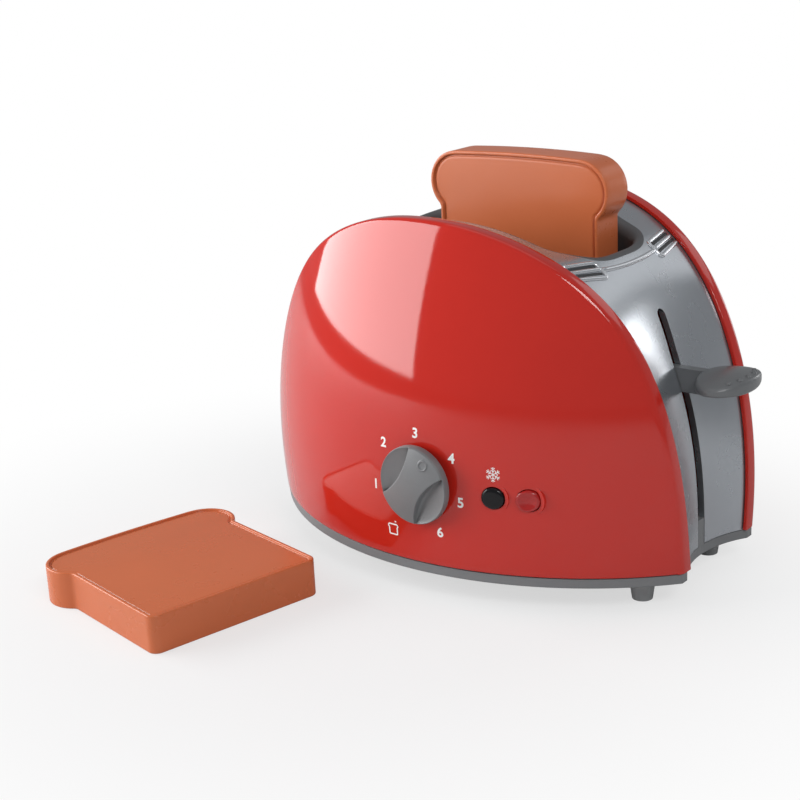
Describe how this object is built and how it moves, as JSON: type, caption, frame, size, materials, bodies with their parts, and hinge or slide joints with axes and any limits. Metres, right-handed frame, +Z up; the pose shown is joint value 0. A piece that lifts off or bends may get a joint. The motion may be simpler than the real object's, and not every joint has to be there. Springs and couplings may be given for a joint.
{
  "type": "toy toaster",
  "caption": "Toy toaster with an arched red body, silver centre band, pop-up carriage and side lever, front dial and buttons, and loose play toast.",
  "frame": {"origin": "centre of the set's bounding box on the table plane, with the toaster and the loose slice as they stand in the picture", "axes": "+Z up, +X along the toaster towards the lever, -Y out of the front with the dial"},
  "size_m": [0.2098, 0.2148, 0.1455],
  "materials": {
    "red_shell": "polished red moulding",
    "silver_band": "metallic silver paint on a moulding",
    "grey_base": "satin grey moulding",
    "foot_grey": "satin grey moulding",
    "steel": "plated",
    "spring_steel": "bright wire and strip",
    "carriage_black": "dark satin moulding",
    "lever_grey": "satin dark grey moulding",
    "latch_white": "natural acetal",
    "button_red": "polished",
    "button_black": "polished",
    "dial_grey": "satin grey moulding",
    "toast_brown": "fine sparked texture"
  },
  "bodies": {
    "body": {"front_panel": "red_shell", "rear_panel": "red_shell", "centre_band": "silver_band", "base_plate": "grey_base", "feet": "foot_grey", "screws": "steel", "guide_rods": "steel", "latch_pin": "steel", "detent_leaf": "spring_steel", "left_spring": "spring_steel", "right_spring": "spring_steel", "stop_spring": "spring_steel", "defrost_spring": "spring_steel"},
    "carriage": {"carriage": "carriage_black", "lever": "lever_grey"},
    "latch": {"latch": "latch_white"},
    "stop_button": {"stop_button": "button_red"},
    "defrost_button": {"defrost_button": "button_black"},
    "dial": {"dial": "dial_grey", "detent_wheel": "latch_white"},
    "toast_slice": {"toast_slice": "toast_brown"},
    "spare_slice": {"spare_slice": "toast_brown"}
  },
  "joints": [
    {"name": "lever_slide", "type": "slide", "parent": "body", "child": "carriage", "axis": [0, 0, -1], "range_m": [0, 0.044], "stiffness_N_per_m": 60, "springref_m": -0.03, "deforming": ["left_spring", "right_spring"]},
    {"name": "toast_lift", "type": "slide", "parent": "carriage", "child": "toast_slice", "axis": [0, 0, 1], "range_m": [0, 0.09]},
    {"name": "spare_lift", "type": "slide", "parent": "body", "child": "spare_slice", "axis": [0, 0, 1], "range_m": [0, 0.05]},
    {"name": "dial_turn", "type": "hinge", "parent": "body", "child": "dial", "pos_m": [0.01277, -0.02462, 0.0434], "axis": [0, 1, 0], "continuous": true},
    {"name": "stop_press", "type": "slide", "parent": "body", "child": "stop_button", "axis": [0, 1, 0], "range_m": [0, 0.0015], "stiffness_N_per_m": 300, "springref_m": -0.001, "deforming": ["stop_spring"]},
    {"name": "defrost_press", "type": "slide", "parent": "body", "child": "defrost_button", "axis": [0, 1, 0], "range_m": [0, 0.0015], "stiffness_N_per_m": 300, "springref_m": -0.001, "deforming": ["defrost_spring"]},
    {"name": "latch_swing", "type": "hinge", "parent": "body", "child": "latch", "pos_m": [0.04297, 0.01138, 0.031], "axis": [-1, 0, 0], "range_deg": [0, 8.3]}
  ],
  "couplings": [
    {"joint": "latch_swing", "follows": "stop_press", "rad_per_m": 95.24}
  ]
}
